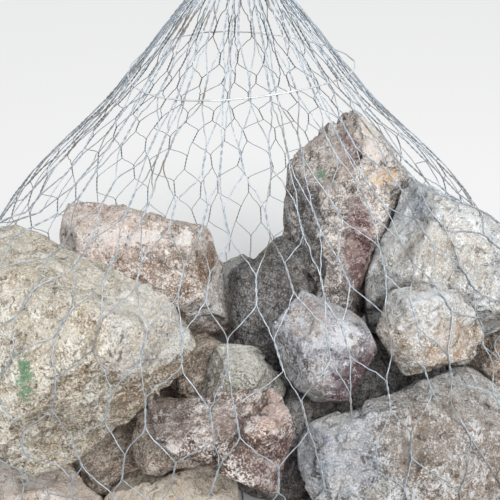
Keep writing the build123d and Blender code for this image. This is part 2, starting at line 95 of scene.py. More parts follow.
def squared_ball(cuts):
    """A cube of squares, drawn out to a ball with even squares."""
    ball = bpy.data.meshes.new("ball")
    at = {}
    places, squares = [], []

    def corner(place):
        if place not in at:
            at[place] = len(places)
            places.append(place)
        return at[place]

    for axis in range(3):
        for sign in (-1, 1):
            for row in range(cuts):
                for column in range(cuts):
                    ring = []
                    for u, v in ((0, 0), (1, 0), (1, 1), (0, 1)):
                        flat = [2 * (column + u) - cuts, 2 * (row + v) - cuts]
                        flat.insert(axis, sign * cuts)
                        ring.append(corner(tuple(flat)))
                    squares.append(ring if (sign > 0) != (axis == 1) else ring[::-1])
    ways = np.tan(np.array(places) / cuts * QUARTER)
    ways /= np.linalg.norm(ways, axis=1)[:, None]
    ball.from_pydata([tuple(way) for way in ways], [], squares)
    return ball, ways


def worn_block(node, spacing, seed):
    """A boulder's solid with worn edges, as a fine mesh. Its ridge attribute is 1 along an edge,
    and its face_tone attribute says how dark or pale each broken face is, from -1 to 1."""
    middle, normals, distances = flat_faces(node)
    low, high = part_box(node.name)
    half = np.array(high - low) / 2
    cuts = int(np.clip(1.6 * half.mean() / spacing, FEWEST_CUTS, MOST_CUTS))
    ball, ways = squared_ball(cuts)
    ways = ways * half
    ways /= np.linalg.norm(ways, axis=1)[:, None]
    shares = np.maximum(ways @ normals.T, 0) / distances
    nearest = shares.max(axis=1)
    worn = (shares**EDGE_SHARPNESS).sum(axis=1) ** (1 / EDGE_SHARPNESS)
    places = middle + ways / worn[:, None]
    ball.vertices.foreach_set("co", places.ravel())
    ridge = ball.attributes.new("ridge", "FLOAT", "POINT")
    ridge.data.foreach_set("value", np.clip((worn / nearest - 1) / RIDGE_WIDTH, 0, 1))
    tones = np.random.default_rng(int(seed * 10)).uniform(-1, 1, len(normals))
    weights = (shares / nearest[:, None]) ** TONE_SHARPNESS
    face_tone = ball.attributes.new("face_tone", "FLOAT", "POINT")
    face_tone.data.foreach_set("value", (weights @ tones) / weights.sum(axis=1))
    ball.update()
    return ball


def sum_node(operation, turned=False, **settings):
    """How a Math node joins a signal with others or with numbers. Turned, they come before it."""

    def joined(self, *others):
        terms = (*others, self) if turned else (self, *others)
        return add_node(self.tree, "ShaderNodeMath", terms, operation=operation, **settings)

    return joined


class Signal:
    """What a node puts out. A sum with it adds the Math node that works the sum out."""

    __add__ = sum_node("ADD")
    __sub__ = sum_node("SUBTRACT")
    __rsub__ = sum_node("SUBTRACT", turned=True)
    __mul__ = __rmul__ = sum_node("MULTIPLY")
    __rtruediv__ = sum_node("DIVIDE", turned=True)
    __abs__ = sum_node("ABSOLUTE")
    most = sum_node("MAXIMUM")
    least = sum_node("MINIMUM")
    less_clamped = sum_node("SUBTRACT", use_clamp=True)
    taken_from_clamped = sum_node("SUBTRACT", turned=True, use_clamp=True)

    def __init__(self, tree, socket):
        self.tree, self.socket = tree, socket

    def beside(self, name):
        """Another output of the same node."""
        return Signal(self.tree, self.socket.node.outputs[name])


def feed(tree, node, feeds):
    """Give a node's inputs their values, or links from other nodes, in order or by name."""
    for key, value in feeds.items() if isinstance(feeds, dict) else enumerate(feeds):
        if isinstance(value, Signal):
            tree.links.new(value.socket, node.inputs[key])
        else:
            node.inputs[key].default_value = value


def add_node(tree, kind, feeds=(), output=0, **settings):
    """Add a node with these settings and feeds, and give back one of its outputs."""
    node = tree.nodes.new(kind)
    for setting, value in settings.items():
        setattr(node, setting, value)
    feed(tree, node, feeds)
    return Signal(tree, node.outputs[output]) if node.outputs else node


def new_tree(name, kind, inputs, outputs):
    """A node tree with these inputs and outputs, and what it is given in its inputs, by name."""
    tree = bpy.data.node_groups.new(name, kind)
    for in_out, sockets in (("INPUT", inputs), ("OUTPUT", outputs)):
        for label, sort, *value in sockets:
            socket = tree.interface.new_socket(
                label, in_out=in_out, socket_type="NodeSocket" + sort
            )
            if value:
                socket.default_value = value[0]
    start = tree.nodes.new("NodeGroupInput")
    return tree, {label: Signal(tree, start.outputs[label]) for label, *_ in inputs}


def new_finish(name):
    """A new material's tree, a way to add nodes to it, and where on its object a point lies."""
    finish = bpy.data.materials.new(name)
    finish.use_nodes = True
    add = partial(add_node, finish.node_tree)
    return finish.node_tree, add, add("ShaderNodeTexCoord", output="Object")


def close_shape(tree, geometry, finish):
    """End a tree of geometry nodes with a smooth, real mesh that has its material."""
    smooth = add_node(tree, "GeometryNodeSetShadeSmooth", {"Geometry": geometry})
    real = add_node(tree, "GeometryNodeRealizeInstances", (smooth,))
    feeds = {"Geometry": real, "Material": finish}
    finished = add_node(tree, "GeometryNodeSetMaterial", feeds)
    add_node(tree, "NodeGroupOutput", (finished,))


def chipping_tree():
    """Geometry nodes that chip, wear and pit a stone inwards from its worn block."""
    inputs = (
        ("Stone", "Geometry"),
        ("Lump Depth", "Float", 0.006),
        ("Chip Size", "Float", 0.085),
        ("Chip Slope", "Float", 0.13),
        ("Grain Depth", "Float", 0.0016),
        ("Seed", "Float", 0.0),
        ("Finish", "Material"),
    )
    tree, given = new_tree("stone_chipping", "GeometryNodeTree", inputs, (("Stone", "Geometry"),))
    add = partial(add_node, tree)
    place = add("GeometryNodeInputPosition")

    def vector(operation, first, second, output=0):
        return add("ShaderNodeVectorMath", (first, second), output, operation=operation)

    def scaled(way, share):
        return add("ShaderNodeVectorMath", {0: way, "Scale": share}, operation="SCALE")

    def noise(scale, detail, roughness, distortion=0.0, output=0):
        feeds = {"Vector": place, "W": given["Seed"], "Scale": scale, "Detail": detail}
        feeds.update({"Roughness": roughness, "Distortion": distortion})
        return add("ShaderNodeTexNoise", feeds, output, noise_dimensions="4D")

    def chips(size, shake):
        """The stone shared out in cells with ragged borders, each split off at its own slope."""
        shaken = vector("SUBTRACT", noise(1.4 / shake, 3.0, 0.6, output="Color"), HALF)
        moved = vector("ADD", place, scaled(shaken, shake))
        feeds = {"Vector": moved, "W": given["Seed"], "Scale": 1.0 / size}
        cell = add("ShaderNodeTexVoronoi", feeds, "Position", voronoi_dimensions="4D")
        from_middle = vector("SUBTRACT", moved, cell)
        slant = vector("SUBTRACT", cell.beside("Color"), HALF)
        along = vector("DOT_PRODUCT", from_middle, slant, "Value")
        return along * given["Chip Slope"] * 2.6

    # Large chips, and small ones of about a third of their size.
    chip = chips(given["Chip Size"], 0.075) + chips(given["Chip Size"] * 0.36, 0.03) * 0.8

    # Lumps and grain: broad unevenness, then the rough broken skin, and a few deeper pits.
    lump = (noise(6.0, 2.0, 0.5) - 0.4) * given["Lump Depth"]
    grain = (noise(42.0, 5.0, 0.72) - 0.36) * (given["Grain Depth"] * 4.0)
    pit = noise(24.0, 3.0, 0.6, 0.6).less_clamped(0.58) * (given["Grain Depth"] * 12.0)
    inwards = lump + grain + pit
    total = (chip - CHIP_STEP - inwards).least(0.0)
    shift = scaled(add("GeometryNodeInputNormal"), total)
    moved = add("GeometryNodeSetPosition", {"Geometry": given["Stone"], "Offset": shift})
    close_shape(tree, moved, given["Finish"])
    return tree


def titled(values):
    """Values by the names of a tree's inputs: dark_amount goes to Dark Amount."""
    return {key.replace("_", " ").title(): value for key, value in values.items()}


def placed(name, data):
    """A new object with this data, in the scene."""
    item = bpy.data.objects.new(name, data)
    bpy.context.scene.collection.objects.link(item)
    return item


def shaped(name, mesh, tree, finish, **values):
    """The mesh after a node tree with this finish and these values, as a plain object."""
    values = {"Finish": bpy.data.materials[finish], **titled(values)}
    maker = placed(name + "_maker", mesh)
    step = maker.modifiers.new("shape", "NODES")
    step.node_group = tree
    for socket in tree.interface.items_tree:
        if socket.in_out == "INPUT" and socket.name in values:
            step[socket.identifier] = values[socket.name]
    seen = maker.evaluated_get(bpy.context.evaluated_depsgraph_get())
    plain = bpy.data.meshes.new_from_object(seen)
    plain.name = name
    bpy.data.objects.remove(maker)
    return placed(name, plain)


# The boulders' surface. Weathered limestone and sandstone fresh from the pit: mottled, crusted with
# pale lime and dusted with dry soil, darker where it is freshly broken. One effect makes them all,
# given other colours for each boulder.


def tone(red, green, blue):
    """A colour as it is seen, 0 to 255, turned into the amounts of light that nodes take."""
    light = []
    for value in (red, green, blue):
        share = value / 255
        light.append(share / 12.92 if share <= 0.04045 else ((share + 0.055) / 1.055) ** 2.4)
    return (*light, 1.0)


PATCHES = ("First Patch", "Second Patch", "Third Patch", "Fourth Patch", "Fifth Patch")
# The brown of soil and of painted shade, laid in patches on what faces down.
MUD_AND_SHADE = tone(112, 96, 80)
GREEN = tone(84, 140, 104)


def weathered_stone_effect():
    inputs = [(name, "Color") for name in ("Light", "Middle", "Dark", "Crust", "Stain", "Dust")]
    inputs += [
        ("Patch Scale", "Float", 7.0),
        ("Dark Amount", "Float", 0.5),
        ("Crust Amount", "Float", 0.5),
        ("Stain Amount", "Float", 0.3),
        ("Dust Amount", "Float", 0.4),
        ("Crack Amount", "Float", 0.5),
        ("Moss Amount", "Float", 0.0),
        ("Place", "Vector"),
        ("Moss Place", "Vector"),
    ]
    for patch in PATCHES:
        inputs += [(f"{patch} Light", "Color"), (f"{patch} Dark", "Color")]
        inputs += [(f"{patch} Amount", "Float", 0.0), (f"{patch} Place", "Vector")]
    outputs = (("Colour", "Color"), ("Roughness", "Float"), ("Height", "Float"))
    tree, given = new_tree("weathered_stone", "ShaderNodeTree", inputs, outputs)
    add = partial(add_node, tree)
    place, crust = given["Place"], given["Crust"]

    def noise(scale, detail, roughness, distortion=0.0, shift=(0, 0, 0), squash=(1, 1, 1)):
        moved = add("ShaderNodeMapping", {"Vector": place, "Location": shift, "Scale": squash})
        feeds = {"Vector": moved, "Scale": scale, "Detail": detail}
        feeds.update({"Roughness": roughness, "Distortion": distortion})
        return add("ShaderNodeTexNoise", feeds)

    def between(value, low, high):
        """0 under low, 1 over high and smooth in between."""
        feeds = {"Value": value, "From Min": low, "From Max": high}
        return add("ShaderNodeMapRange", feeds, interpolation_type="SMOOTHSTEP")

    def over(mask, under, colour, blend="MIX"):
        feeds = {"Factor": mask, "A": under, "B": colour}
        return add("ShaderNodeMix", feeds, "Result", data_type="RGBA", blend_type=blend)

    def length(way):
        return add("ShaderNodeVectorMath", (way,), "Value", operation="LENGTH")

    # The rock itself. Four noises, from broad patches down to single grains, add up to one value,
    # and that goes from the dark broken rock through its two plain colours to the pale lime crust.
    patches = noise(given["Patch Scale"], 5.0, 0.62, 0.8)
    blotches = noise(24.0, 6.0, 0.7, 0.5, (3.1, 1.7, 0.4))
    peas = noise(95.0, 5.0, 0.75, 0.4, (0.7, 5.2, 2.9))
    grains = noise(270.0, 3.0, 0.75, 0.0, (0.3, 0.9, 1.3))
    value = (patches - 0.5) * 0.5
    for part, weight in ((blotches, 0.8), (peas, 1.05), (grains, 1.45)):
        value = value + (part - 0.5) * weight
    for name, weight in (("ridge", 0.07), ("face_tone", 0.045)):
        value = value + add("ShaderNodeAttribute", output="Fac", attribute_name=name) * weight
    dark_share = (given["Dark Amount"] - 0.5) * 0.22
    crust_share = (given["Crust Amount"] - 0.5) * 0.22
    dark_mask = between(value - dark_share, -0.22, -0.05)
    light_mask = between(value, -0.07, 0.11)
    pale, plain, deep = given["Light"], given["Middle"], given["Dark"]

    # Fields of other rock, each round its own place, with ragged borders. Where such a field is
    # dark, it lies bare of the lime and the scuffs that cover the rest.
    border = noise(13.0, 6.0, 0.75, 0.8, (4.1, 0.2, 7.7)) * 1.6 - value * 0.8
    bare = 1.0
    for patch in PATCHES:
        light_there, dark_there = given[f"{patch} Light"], given[f"{patch} Dark"]
        within = 1.8 - (length(given[f"{patch} Place"]) + border)
        mask = between(within, -0.05, 0.08) * given[f"{patch} Amount"]
        pale = over(mask, pale, light_there)
        plain = over(mask, plain, over(0.5, light_there, dark_there))
        deep = over(mask, deep, dark_there)
        darkness = (add("ShaderNodeRGBToBW", (light_there,)) * 3.0).taken_from_clamped(1.0)
        bare = bare * (1.0 - mask * darkness)
    colour = over(dark_mask, deep, plain)
    colour = over(light_mask, colour, pale)

    # Warmer and cooler tints drift over all rock, and it has rusty, sooty and chalky specks.
    for spread, low, high, share, tint in (
        (noise(17.0, 5.0, 0.7, 0.9, (5.9, 3.3, 1.2)), 0.5, 0.62, 0.7, (1.0, 0.9, 0.76, 1.0)),
        (noise(14.0, 5.0, 0.7, 0.9, (2.5, 8.8, 6.4)), 0.5, 0.62, 0.7, (0.86, 0.93, 1.0, 1.0)),
        (noise(130.0, 4.0, 0.7, 0.3, (9.5, 0.6, 2.1)), 0.62, 0.66, 0.8, (0.7, 0.5, 0.42, 1.0)),
        (noise(210.0, 4.0, 0.75, 0.5, (1.1, 6.3, 8.7)), 0.58, 0.63, 0.75, (0.46, 0.43, 0.41, 1.0)),
    ):
        colour = over(between(spread, low, high) * share, colour, tint, "MULTIPLY")
    chalky = between(noise(215.0, 5.0, 0.8, 0.6, (4.7, 2.6, 0.9)), 0.59, 0.63)
    colour = over(chalky * 0.7 * bare, colour, crust)

    # Iron stain in long drifts, broken up by the mottling.
    drift = noise(4.2, 5.0, 0.6, 1.2, (8.3, 2.2, 6.1), (1.0, 1.0, 0.6))
    stained = between(drift, 0.5, 0.62) * given["Stain Amount"]
    colour = over(stained * between(blotches + peas, 0.9, 1.08), colour, given["Stain"])

    # Pale lime crust: flecks everywhere, thickest in fields and along the worn edges.
    fields = noise(9.0, 4.0, 0.6, 0.8, (1.9, 7.4, 3.3))
    fleck_mask = between(value + crust_share + fields * 0.35, 0.28, 0.35)
    colour = over(fleck_mask * 0.92 * bare, colour, crust)

    # Scuffs, where the boulders were dragged and tipped: short strokes that all run one way.
    strokes = noise(52.0, 5.0, 0.68, 0.5, (6.2, 0.8, 3.7), (0.28, 0.9, 1.5))
    scuff = between(strokes, 0.57, 0.62) * between(1.0 - fields, 0.4, 0.56)
    colour = over(scuff * 0.65 * bare, colour, crust)
    scrapes = noise(64.0, 4.0, 0.66, 0.5, (0.6, 4.8, 7.1), (0.3, 1.0, 1.4))
    scrape = between(scrapes, 0.6, 0.65) * 0.55
    colour = over(scrape, colour, (0.58, 0.54, 0.51, 1.0), "MULTIPLY")

    # Thin white veins of lime that wander over the stone and break off.
    wander = noise(12.0, 7.0, 0.68, 0.9, (0.4, 3.9, 8.2))
    vein = 1.0 - between(abs(wander - 0.5), 0.002, 0.012)
    vein = vein * between(fields + value * 0.6, 0.46, 0.54)
    colour = over(vein * (given["Crust Amount"] * 1.1), colour, crust)

    # Cracks and small pits, dark inside.
    bend = add("ShaderNodeTexNoise", {"Vector": place, "Scale": 11.0, "Detail": 4.0}, "Color")
    bent = add("ShaderNodeVectorMath", {0: bend, "Scale": 0.12}, operation="SCALE")
    shaken = add("ShaderNodeVectorMath", (place, bent), operation="ADD")
    feeds = {"Vector": shaken, "Scale": 6.5}
    edge = add("ShaderNodeTexVoronoi", feeds, "Distance", feature="DISTANCE_TO_EDGE")
    crack = (1.0 - between(edge, 0.0, 0.03)) * between(fields, 0.46, 0.6)
    pit = between(noise(58.0, 3.0, 0.5, 0.9, (6.6, 6.1, 0.2)), 0.6, 0.68)
    sunk = (crack * given["Crack Amount"]).most(pit * 0.8)
    colour = over(sunk, colour, (0.3, 0.26, 0.23, 1.0), "MULTIPLY")

    # Dry soil dust, which stays on what faces up. What faces down is painted darker brown in
    # patches: brown soil and painted shade under the stones.
    facing = add("ShaderNodeSeparateXYZ", (add("ShaderNodeNewGeometry", output="Normal"),), "Z")
    powder = between(noise(26.0, 6.0, 0.7, 0.4, (2.2, 9.1, 5.5)), 0.36, 0.6)
    dust = between(facing, 0.25, 0.95) * powder * given["Dust Amount"]
    colour = over(dust, colour, given["Dust"])
    underside_patches = between(noise(16.0, 6.0, 0.72, 0.6, (7.7, 1.1, 4.4)), 0.4, 0.58)
    mud_and_shade = between(facing * -1.0, -0.15, 0.75) * underside_patches
    colour = over(mud_and_shade * 0.7, colour, MUD_AND_SHADE)

    # A smear of green, on the boulders that have one.
    ragged = noise(85.0, 5.0, 0.8, 1.0, (5.0, 4.0, 3.0)) * 3.4
    near = 2.3 - (length(given["Moss Place"]) + ragged)
    colour = over(between(near, 0.0, 0.25) * given["Moss Amount"], colour, GREEN)

    # Height in metres over the smooth stone, for the bump.
    rise = blotches * 0.0045 + peas * 0.0085 + grains * 0.0042 + fleck_mask * 0.0006
    rise = rise - sunk * 0.0035
    rough = 0.95 - grains * 0.18
    add("NodeGroupOutput", {"Colour": colour, "Roughness": rough, "Height": rise})
    return tree


weathered_stone = weathered_stone_effect()
stone_chipping = chipping_tree()


def stone_finish(name, seed, amounts, green=None, fields=(), scale=7.0, crack=0.5, **colours):
    """A boulder's material: the weathered stone effect with its own colours, and how much it is
    darkened, crusted, stained and dusted. A field is a place, its reach to each side, the light and
    the dark colour of the rock there, and how full it is."""
    tree, add, where = new_finish(name)

    def centred(place, reach):
        feeds = {"Vector": where, "Location": place, "Scale": reach}
        return add("ShaderNodeMapping", feeds, vector_type="TEXTURE")

    turned = {
        "Vector": where,
        "Location": (seed * 1.37, seed * 0.71, seed * 0.29),
        "Rotation": (seed * 0.9, seed * 0.5, seed * 1.3),
    }
    feeds = {"Place": add("ShaderNodeMapping", turned), "Patch Scale": scale}
    feeds["Crack Amount"] = crack
    feeds.update(zip(("Dark Amount", "Crust Amount", "Stain Amount", "Dust Amount"), amounts))
    feeds.update(titled({key: tone(*colour) for key, colour in colours.items()}))
    if green:
        feeds.update({"Moss Place": centred(*green), "Moss Amount": 0.7})
    for patch, (place, reach, pale, deep, amount) in zip(PATCHES, fields):
        feeds[f"{patch} Place"] = centred(place, reach)
        feeds[f"{patch} Light"] = tone(*pale)
        feeds[f"{patch} Dark"] = tone(*deep)
        feeds[f"{patch} Amount"] = amount
    colour = add("ShaderNodeGroup", feeds, "Colour", node_tree=weathered_stone)
    bumps = {"Strength": 0.9, "Distance": 1.0, "Height": colour.beside("Height")}
    surface = {
        "Base Color": colour,
        "Roughness": colour.beside("Roughness"),
        "Normal": add("ShaderNodeBump", bumps),
        "Specular IOR Level": 0.25,
    }
    feed(tree, tree.nodes["Principled BSDF"], surface)


boulders = {}


def lay_boulder(name, slot, finish, spacing, seed, **shape):
    """A boulder in place of its solid."""
    block = worn_block(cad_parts[name], spacing, seed)
    piece = shaped(name + "_stone", block, stone_chipping, finish, seed=seed, **shape)
    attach(piece, "root")
    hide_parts(name)
    boulders[name] = piece


# The big boulder on the left. Pitted tan sandstone with cream streaks, a grey-white crust at its
# right and a green smear at its left.
stone_finish(
    "tan_sandstone", seed=1.0,
    light=(203, 194, 178), middle=(176, 165, 147), dark=(118, 106, 91),
    crust=(228, 224, 214), stain=(168, 138, 104), dust=(205, 196, 180),
    amounts=(0.55, 0.75, 0.35, 0.5),
    green=((-0.345, -0.484, 0.495), (0.024, 0.06, 0.06)),
    fields=(
        ((-0.15, -0.41, 0.53), (0.095, 0.13, 0.095), (234, 232, 228), (158, 152, 146), 0.9),
        ((-0.13, -0.41, 0.39), (0.1, 0.16, 0.065), (166, 144, 120), (108, 91, 75), 0.85),
        ((-0.29, -0.44, 0.557), (0.045, 0.06, 0.018), (230, 224, 212), (190, 180, 164), 0.85),
    ),
)
lay_boulder("boulder_big_left", "tan_stone", "tan_sandstone", spacing=0.0062, seed=1.3)

# The boulder behind it. Pinkish limestone with a pale top and a browner, greyer broken front.
stone_finish(
    "pink_limestone", seed=2.0,
    light=(228, 213, 203), middle=(196, 178, 168), dark=(126, 114, 107),
    crust=(240, 234, 228), stain=(212, 158, 128), dust=(232, 218, 208),
    amounts=(0.55, 0.6, 0.75, 0.25),
    fields=(
        ((-0.12, -0.21, 0.455), (0.22, 0.12, 0.095), (172, 153, 136), (112, 92, 77), 1.0),
        ((-0.05, -0.175, 0.425), (0.075, 0.08, 0.05), (234, 232, 230), (148, 138, 132), 0.9),
        ((-0.06, -0.14, 0.485), (0.045, 0.07, 0.03), (154, 124, 102), (116, 88, 70), 0.9),
        ((-0.18, -0.155, 0.556), (0.16, 0.03, 0.012), (242, 237, 232), (212, 200, 192), 0.85),
    ),
)
lay_boulder("boulder_upper_left", "pink_stone", "pink_limestone", spacing=0.0068, seed=2.7)

# The tall boulder, right of the middle. Grey-red rock with maroon bands, a bright cream face, an
# orange stain under it and a small green smear.
stone_finish(
    "banded_red_stone", seed=3.0,
    light=(192, 183, 177), middle=(157, 148, 143), dark=(108, 98, 95),
    crust=(234, 227, 220), stain=(126, 84, 78), dust=(206, 192, 182),
    amounts=(0.75, 0.7, 0.55, 0.45),
    green=((0.16, -0.083, 0.665), (0.018, 0.03, 0.016)),
    fields=(
        ((0.125, -0.13, 0.55), (0.055, 0.14, 0.13), (166, 163, 161), (106, 102, 103), 0.9),
        ((0.223, -0.205, 0.57), (0.028, 0.07, 0.085), (120, 86, 86), (80, 56, 58), 0.95),
        ((0.216, -0.05, 0.705), (0.022, 0.09, 0.034), (126, 90, 86), (86, 62, 60), 0.85),
        ((0.264, -0.04, 0.722), (0.03, 0.11, 0.036), (252, 246, 238), (218, 204, 192), 1.0),
        ((0.276, -0.11, 0.674), (0.034, 0.05, 0.014), (234, 206, 162), (208, 168, 122), 0.9),
    ),
)
lay_boulder(
    "boulder_tall", "red_brown_stone", "banded_red_stone", spacing=0.0068, seed=3.1, chip_slope=0.26
)

# The boulder on the right. Pale grey limestone with a bluish corner.
stone_finish(
    "pale_grey_limestone", seed=4.0,
    light=(206, 206, 204), middle=(180, 180, 180), dark=(128, 127, 129),
    crust=(228, 230, 230), stain=(186, 170, 150), dust=(214, 211, 204),
    amounts=(0.55, 0.7, 0.35, 0.4),
    fields=(
        ((0.325, -0.11, 0.63), (0.055, 0.09, 0.045), (176, 185, 196), (136, 143, 154), 0.9),
        ((0.39, -0.26, 0.57), (0.09, 0.1, 0.07), (200, 190, 176), (156, 144, 130), 0.75),
    ),
)
lay_boulder("boulder_right", "grey_stone", "pale_grey_limestone", spacing=0.0068, seed=4.9)

# The small boulder under it. Cream limestone, white with dust on top and tan where it is broken.
stone_finish(
    "cream_limestone", seed=5.0,
    light=(192, 189, 185), middle=(167, 161, 153), dark=(122, 114, 105),
    crust=(222, 221, 218), stain=(188, 160, 128), dust=(214, 214, 214),
    amounts=(0.5, 0.7, 0.4, 0.85),
    fields=(((0.33, -0.42, 0.485), (0.13, 0.1, 0.048), (180, 164, 146), (128, 108, 90), 0.9),),
)
lay_boulder("boulder_small_right", "tan_stone", "cream_limestone", spacing=0.005, seed=5.3)

# The boulder in the middle. Violet-grey stone, with bare maroon rock at its lower right.
stone_finish(
    "violet_grey_stone", seed=6.0,
    light=(194, 193, 197), middle=(166, 163, 166), dark=(112, 105, 107),
    crust=(218, 221, 224), stain=(88, 70, 72), dust=(196, 194, 194),
    amounts=(0.55, 0.6, 0.9, 0.4),
    fields=(
        ((0.225, -0.43, 0.425), (0.078, 0.12, 0.08), (86, 58, 61), (56, 38, 42), 1.0),
        ((0.185, -0.405, 0.522), (0.028, 0.04, 0.016), (222, 222, 224), (184, 182, 182), 0.85),
        ((0.115, -0.37, 0.53), (0.045, 0.05, 0.028), (192, 176, 168), (144, 126, 118), 0.75),
    ),
)
lay_boulder("boulder_middle", "grey_stone", "violet_grey_stone", spacing=0.005, seed=6.2)

# The small boulder left of the middle. Greenish grey-beige stone with fine cracks.
stone_finish(
    "greenish_beige_stone", seed=7.0,
    light=(200, 196, 184), middle=(172, 168, 157), dark=(116, 113, 104),
    crust=(228, 226, 218), stain=(150, 134, 108), dust=(188, 184, 172),
    amounts=(0.6, 0.6, 0.3),
    crack=0.9,
)
lay_boulder("boulder_small_left", "grey_stone", "greenish_beige_stone", spacing=0.0048, seed=7.4)

# The boulder at the front. Mottled brown and maroon rock with white lime and a pinker right end.
stone_finish(
    "mottled_brown_stone", seed=8.0,
    light=(150, 129, 116), middle=(108, 87, 76), dark=(70, 55, 49),
    crust=(228, 222, 218), stain=(118, 80, 72), dust=(190, 174, 166),
    amounts=(0.8, 0.65, 0.7, 0.3),
    scale=11.0,
    fields=(
        ((0.061, -0.49, 0.442), (0.048, 0.08, 0.022), (216, 198, 190), (170, 142, 134), 0.9),
        ((-0.13, -0.48, 0.4), (0.055, 0.07, 0.05), (108, 94, 86), (70, 58, 52), 0.9),
        ((0.065, -0.535, 0.36), (0.05, 0.07, 0.05), (122, 92, 86), (78, 56, 54), 0.85),
        ((-0.045, -0.505, 0.418), (0.05, 0.05, 0.018), (218, 212, 208), (140, 122, 112), 0.6),
    ),
)
lay_boulder(
    "boulder_front",
    "red_brown_stone",
    "mottled_brown_stone",
    spacing=0.005,
    seed=8.8,
    chip_slope=0.24,
)

# The broad boulder at the front right. Grey-white at the left, beige in the middle and brown low
# down at the right, with fine cracks.
stone_finish(
    "grey_beige_stone", seed=9.0,
    light=(180, 179, 176), middle=(150, 146, 142), dark=(106, 100, 95),
    crust=(214, 215, 216), stain=(142, 122, 102), dust=(178, 173, 165),
    amounts=(0.65, 0.55, 0.3, 0.35),
    crack=0.8,
    fields=(
        ((0.155, -0.5, 0.36), (0.085, 0.13, 0.13), (198, 202, 210), (136, 138, 144), 0.9),
        ((0.38, -0.5, 0.34), (0.13, 0.12, 0.075), (154, 138, 124), (110, 94, 82), 0.8),
    ),
)
lay_boulder("boulder_front_right", "grey_stone", "grey_beige_stone", spacing=0.0062, seed=9.6)

# The boulders at the foot. Beige and pinkish cream stones, dusty all over.
stone_finish(
    "pinkish_cream_stone", seed=10.0,
    light=(228, 214, 203), middle=(204, 188, 176), dark=(146, 132, 121),
    crust=(238, 230, 222), stain=(184, 150, 126), dust=(208, 196, 184),
    amounts=(0.5, 0.5, 0.4, 0.6),
)
stone_finish(
    "beige_orange_stone", seed=11.0,
    light=(238, 226, 209), middle=(220, 204, 185), dark=(170, 152, 132),
    crust=(240, 233, 222), stain=(172, 134, 98), dust=(200, 188, 172),
    amounts=(0.5, 0.5, 0.6, 0.6),
)
for boulder in (
    ("boulder_foot_left", "pink_stone", "pinkish_cream_stone", 0.0075, 10.1),
    ("boulder_foot_front", "tan_stone", "beige_orange_stone", 0.0065, 11.2),
    ("boulder_foot_right", "tan_stone", "pinkish_cream_stone", 0.0085, 12.3),
    ("boulder_back_foot_left", "tan_stone", "beige_orange_stone", 0.0095, 13.4),
    ("boulder_back_foot_right", "pink_stone", "pinkish_cream_stone", 0.0095, 14.5),
):
    lay_boulder(*boulder)

# The boulders at the sides and the back, of the same kinds of rock as those at the front.
stone_finish(
    "brown_stone", seed=12.0,
    light=(176, 160, 146), middle=(142, 127, 114), dark=(90, 79, 71),
    crust=(214, 205, 194), stain=(130, 96, 78), dust=(180, 166, 150),
    amounts=(0.6, 0.55, 0.5, 0.45),
)
stone_finish(
    "plain_grey_stone", seed=13.0,
    light=(182, 181, 178), middle=(150, 149, 147), dark=(100, 98, 97),
    crust=(216, 216, 214), stain=(150, 132, 112), dust=(188, 183, 174),
    amounts=(0.6, 0.6, 0.4, 0.45),
)
for boulder in (
    ("boulder_far_right", "red_brown_stone", "brown_stone", 0.0062, 15.6),
    ("boulder_left_side", "tan_stone", "beige_orange_stone", 0.0095, 16.7),
    ("boulder_right_side", "grey_stone", "plain_grey_stone", 0.0095, 17.8),
    ("boulder_back_left", "pink_stone", "pinkish_cream_stone", 0.0095, 18.9),
    ("boulder_back_middle", "grey_stone", "plain_grey_stone", 0.0095, 20.1),
    ("boulder_back_right", "grey_stone", "plain_grey_stone", 0.0095, 21.2),
):
    lay_boulder(*boulder)

# The boulders in the gaps and under the middle. Smaller stones; the grey ones in the gaps are
# painted dark, as painted shade for the deep gaps.
# Painted shade: grey rock given dark colours, for the shade deep in the gaps between the boulders.
stone_finish(
    "shade_darkened_grey_stone", seed=15.0,
    light=(124, 121, 120), middle=(94, 91, 90), dark=(60, 57, 56),
    crust=(164, 163, 162), stain=(96, 82, 74), dust=(128, 122, 114),
    amounts=(0.6, 0.55, 0.3, 0.25),
)
for boulder in (
    ("boulder_inner_left", "red_brown_stone", "brown_stone", 0.0062, 22.3),
    ("boulder_inner_middle", "red_brown_stone", "brown_stone", 0.0062, 23.4),
    ("boulder_inner_right", "grey_stone", "shade_darkened_grey_stone", 0.0062, 24.5),
    ("boulder_wedge", "grey_stone", "shade_darkened_grey_stone", 0.0062, 25.6),
    ("boulder_low_left", "tan_stone", "brown_stone", 0.0075, 27.8),
    ("boulder_low_middle", "grey_stone", "shade_darkened_grey_stone", 0.0075, 28.9),
    ("boulder_low_right", "grey_stone", "shade_darkened_grey_stone", 0.0085, 29.1),
    ("boulder_base", "grey_stone", "plain_grey_stone", 0.012, 26.7),
):
    lay_boulder(*boulder)

# How the wire mesh lies. Double-twisted hexagonal mesh of galvanised wire some 2 mm thick, 10 by
# 12 cm. It hangs straight from the tied neck to the stones and is drawn tight over them. Its sizes
# repeat the part's own.

COLUMNS = 45
TWIST_LENGTH = 0.052
DIAGONAL_LENGTH = 0.063
FIRST_OPEN_ROW = 0.132
MESH_WIRE = 0.002
PROFILE = (
    (0.031, 1.088), (0.098, 0.975), (0.296, 0.752), (0.515, 0.535),
    (0.598, 0.335), (0.599, 0.219), (0.56, 0.062), (0.48, 0.0038),
)
CLOSING_RADIUS = 0.092
SPAN_STEPS = 28
BUNCHES = 15
BUNCH_PULL = 0.66
BUNCH_GAP = 0.0055
BUNCHED_WITHIN = 0.44


